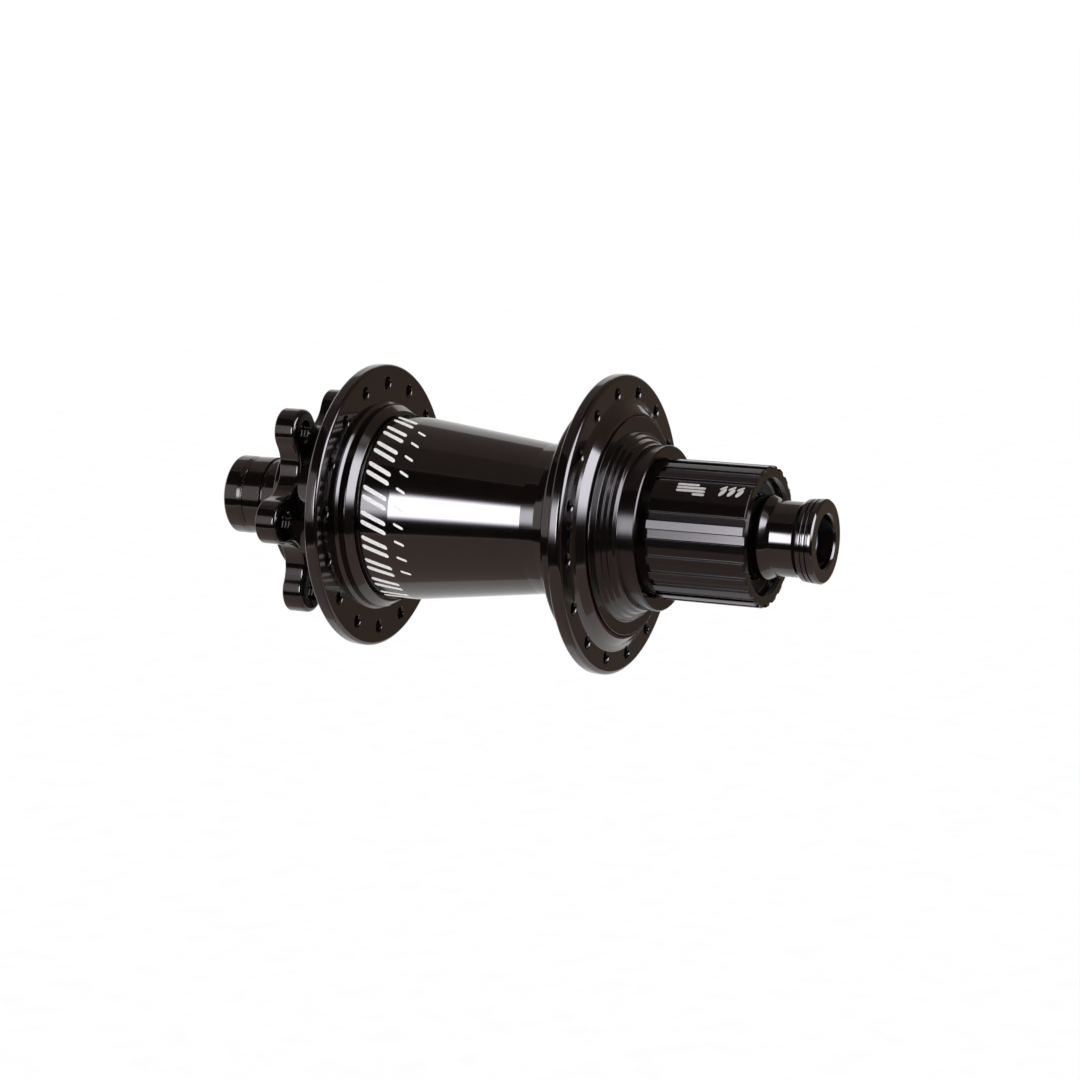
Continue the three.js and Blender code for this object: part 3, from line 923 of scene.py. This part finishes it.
def bar(start, end, middle, width, slant, radius_at):
    """A rounded bar lying on a turned surface, as vertices and faces. It runs along
    the axis, leans by slant degrees over its length, and is width millimetres across."""
    rows, columns = 12, 4
    vertices, faces = [], []
    for level in (MARK_HEIGHT, -MARK_DEPTH):
        for i in range(rows + 1):
            share = 0.5 - 0.5 * math.cos(math.pi * i / rows)
            station = start + (end - start) * share
            from_end = min(station - start, end - station)
            round_off = max(0.0, 1 - from_end / (width / 2))
            half = width / 2 * math.sqrt(max(0.04, 1 - round_off**2))
            radius = radius_at(station)
            half_angle = math.degrees(half / radius)
            centre = middle + slant * (share - 0.5)
            for j in range(columns + 1):
                angle = centre + half_angle * (2 * j / columns - 1)
                vertices.append(place(station, radius + level, angle))
    stride = columns + 1
    layer = stride * (rows + 1)
    for i in range(rows):
        for j in range(columns):
            corner = i * stride + j
            faces.append((corner, corner + 1, corner + stride + 1, corner + stride))
            lower = [layer + k for k in (corner, corner + stride, corner + stride + 1, corner + 1)]
            faces.append(tuple(lower))
    for i in range(rows):
        for j in (0, columns):
            corner = i * stride + j
            faces.append((corner, corner + stride, layer + corner + stride, layer + corner))
    for j in range(columns):
        for i in (0, rows):
            corner = i * stride + j
            faces.append((corner, corner + 1, layer + corner + 1, layer + corner))
    return vertices, faces


def bars_object(name, bars):
    """One mesh object from several bars."""
    vertices, faces = [], []
    for bar_vertices, bar_faces in bars:
        offset = len(vertices)
        vertices += bar_vertices
        faces += [tuple(offset + k for k in face) for face in bar_faces]
    return link(name, vertices, faces)


def make_barrel_marks():
    """A band of paired slanting bars round the barrel, with a row of dashes beside it."""
    bars = []
    pair_pitch = 15.5
    for i in range(10):
        middle = -62 + pair_pitch * i
        bars.append(bar(98.5, 104.6, middle - 3.0, 1.05, 7.0, barrel_radius))
        bars.append(bar(98.5, 104.6, middle + 2.8, 1.05, 7.0, barrel_radius))
    for i in range(10):
        bars.append(bar(94.3, 96.6, -35 + 11.2 * i, 0.62, 3.0, barrel_radius))
    marks = bars_object("barrel_marks", bars)
    finish_piece(marks, "shell", "black_anodised", pale_print)


def make_freehub_marks():
    """Two small groups of marks on the wide land: staggered bars, and three strokes
    that each have a thin and a thick part."""

    def on_land(_station):
        return SPLINE_TIP

    bars = []
    spans = ((24.3, 27.2), (24.3, 31.2), (24.3, 31.2), (26.0, 31.2))
    for k, (start, end) in enumerate(spans):
        bars.append(bar(start, end, 41.6 + 3.0 * k, 0.62, 0.0, on_land))
    for k in range(3):
        bars.append(bar(15.4 + 2.0 * k, 17.0 + 2.0 * k, 45.4, 1.5, -5.0, on_land))
        bars.append(bar(15.4 + 2.0 * k, 17.0 + 2.0 * k, 49.6, 0.6, -3.0, on_land))
    marks = bars_object("freehub_marks", bars)
    finish_piece(marks, "freehub", "black_anodised", dull_print)


# ------------------------------------------------------- pieces from the CAD


def dress_cad_nodes():
    """Gives every CAD node that is still shown the material of its slot."""
    slots = {
        "spacer": "raw_aluminium",
        "ring": "bearing_steel",
        "balls_and_cage": "balls_and_cage",
        "drive_ring": "hardened_steel",
        "pawl_spring": "spring_steel",
        "pawl": "hardened_steel",
    }
    order = ("drive_ring", "balls_and_cage", "pawl_spring", "pawl", "spacer", "ring")
    for name, node in sorted(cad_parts.items()):
        kind = next((key for key in order if key in name), None)
        if kind is None:
            continue
        node.data.materials.clear()
        node.data.materials.append(SLOT_MATERIALS[slots[kind]])


# ------------------------------------------------------ camera, floor, lights

# The hub is as high above the floor as a wheel holds it. The low panel stands
# nearer than the others, so that it stays above the floor.
FLOOR_DROP = 0.37
FLOOR_HALF_WIDTH = 12.0
PANEL_DISTANCE = 0.9
LOW_PANEL_DISTANCE = 0.35
WORLD_STRENGTH = 1.06
CAMERA_AZIMUTH = -65.1
CAMERA_ELEVATION = 10.7
CAMERA_LENS = 110.0
CAMERA_OFFSET = (-0.06309, 0.00042, 0.72767)


def make_camera():
    """A long lens on the drive side. The offset is right, up and back from the
    centre of the drive side end face."""
    azimuth = math.radians(CAMERA_AZIMUTH)
    elevation = math.radians(CAMERA_ELEVATION)
    right = Vector((math.cos(azimuth), math.sin(azimuth), 0))
    back = Vector((
        math.sin(azimuth) * math.cos(elevation),
        -math.cos(azimuth) * math.cos(elevation),
        math.sin(elevation),
    ))
    up = back.cross(right)
    camera = bpy.data.objects.new("camera", bpy.data.cameras.new("camera"))
    bpy.context.scene.collection.objects.link(camera)
    camera.data.lens = CAMERA_LENS
    camera.data.sensor_width = 36
    camera.data.clip_start = 0.01
    camera.data.clip_end = 50
    rightwards, upwards, backwards = CAMERA_OFFSET
    face_centre = Vector((0, DRIVE_END, 0))
    camera.location = face_centre + right * rightwards + up * upwards + back * backwards
    camera.rotation_mode = "QUATERNION"
    camera.rotation_quaternion = (-back).to_track_quat("-Z", "Y")
    bpy.context.scene.camera = camera


def make_floor():
    material, tree, shader, place_of = start_material("floor_paper")
    grain = noise(tree, place_of, 60.0)
    tree.links.new(
        ramp(tree, grain, [(0.3, (0.93, 0.93, 0.93)), (0.7, (0.96, 0.96, 0.96))]),
        shader.inputs["Base Color"],
    )
    shader.inputs["Roughness"].default_value = 0.9
    shader.inputs["Specular IOR Level"].default_value = 0.0
    half = FLOOR_HALF_WIDTH
    corners = [
        (-half, -half, -FLOOR_DROP),
        (half, -half, -FLOOR_DROP),
        (half, half, -FLOOR_DROP),
        (-half, half, -FLOOR_DROP),
    ]
    floor = link("floor", corners, [(0, 1, 2, 3)])
    if floor.data.polygons[0].normal.z < 0:
        floor.data.flip_normals()
    floor.data.materials.append(material)


def direction(sideways, elevation):
    """A unit vector from the hub: degrees from -X towards +Y, and above the horizon."""
    turn, rise = math.radians(sideways), math.radians(elevation)
    level = math.cos(rise)
    return Vector((-math.cos(turn) * level, math.sin(turn) * level, math.sin(rise)))


def panel(
    name, sideways, elevation, radiance, colour=(1, 1, 1), fade=0.0, distance=PANEL_DISTANCE,
):
    """A curved panel that spans two angles sideways and two in elevation, seen from
    the hub. It is seen in reflections only, and lights or darkens them. Its glow
    fades out over the given share of its height, at the bottom and at the top."""
    across, up = 12, 16
    vertices, faces, levels = [], [], []
    for i in range(up + 1):
        rise = elevation[0] + (elevation[1] - elevation[0]) * i / up
        from_edge = min(i, up - i) / up
        level = min(1.0, from_edge / fade) if fade > 0 else 1.0
        for j in range(across + 1):
            turn = sideways[0] + (sideways[1] - sideways[0]) * j / across
            vertices.append(direction(turn, rise) * distance)
            levels.append(level * level * (3 - 2 * level))
    for i in range(up):
        for j in range(across):
            corner = i * (across + 1) + j
            faces.append((corner, corner + 1, corner + across + 2, corner + across + 1))
    card = link(name, vertices, faces)
    card.data.attributes.new("glow", "FLOAT", "POINT").data.foreach_set("value", levels)
    material = bpy.data.materials.new(name)
    material.use_nodes = True
    tree = material.node_tree
    tree.nodes.clear()
    glow = add(tree, "ShaderNodeEmission")
    glow.inputs["Color"].default_value = (*colour, 1)
    level = add(tree, "ShaderNodeAttribute", attribute_name="glow").outputs["Fac"]
    tree.links.new(maths(tree, "MULTIPLY", level, radiance), glow.inputs["Strength"])
    output = add(tree, "ShaderNodeOutputMaterial")
    tree.links.new(glow.outputs[0], output.inputs["Surface"])
    card.data.materials.append(material)
    card.visible_camera = False
    card.visible_diffuse = False
    card.visible_shadow = False


def make_lights():
    world = bpy.data.worlds.new("studio")
    world.use_nodes = True
    background = world.node_tree.nodes["Background"]
    background.inputs["Color"].default_value = (1, 1, 1, 1)
    background.inputs["Strength"].default_value = WORLD_STRENGTH
    bpy.context.scene.world = world
    cool = (0.86, 0.955, 1.09)
    warm = (1.0, 0.84, 0.79)
    brown = (1.0, 0.78, 0.6)
    # name, sideways angles, elevation angles, radiance, colour
    panel("key_softbox", (8, 17), (-5, 27), 26.0, cool, fade=0.2)
    panel("second_softbox", (17.2, 27.5), (-5, 27), 9.0, cool, fade=0.35)
    panel("upper_card", (-44.4, 100), (27.5, 55), 0.035, warm)
    panel("top_card", (-44, 100), (55.3, 89.5), 0.2, warm)
    panel("top_side_card", (-180, -44.3), (60.3, 89.5), 0.06, warm)
    panel("back_top_card", (100.3, 180), (38, 89.5), 0.28, warm)
    panel("lower_card", (-44, 90), (-22, -5.5), 0.01)
    panel("bounce_card", (-100, 100), (-85, -22.3), 0.55, warm, distance=LOW_PANEL_DISTANCE)
    panel("drive_card", (-44, 7.8), (-5.3, 27.3), 0.025)
    panel("drive_low_card", (-84, -44.5), (-22, 1.7), 0.05, warm)
    panel("ring_softbox", (-103, -44.5), (2, 55), 13.0, cool, fade=0.25)
    panel("far_card", (-180, -103.3), (-24, 60), 0.2, brown)
    panel("side_card", (-103, -84.3), (-22, 1.7), 0.16, brown)


# --------------------------------------------------------------------- build

make_camera()
make_axle_tube()
make_drive_cap()
make_disc_cap()
make_shell()
make_freehub_body()
make_seals()
make_barrel_marks()
make_freehub_marks()
dress_cad_nodes()
make_floor()
make_lights()
bpy.context.scene.view_settings.view_transform = "Standard"
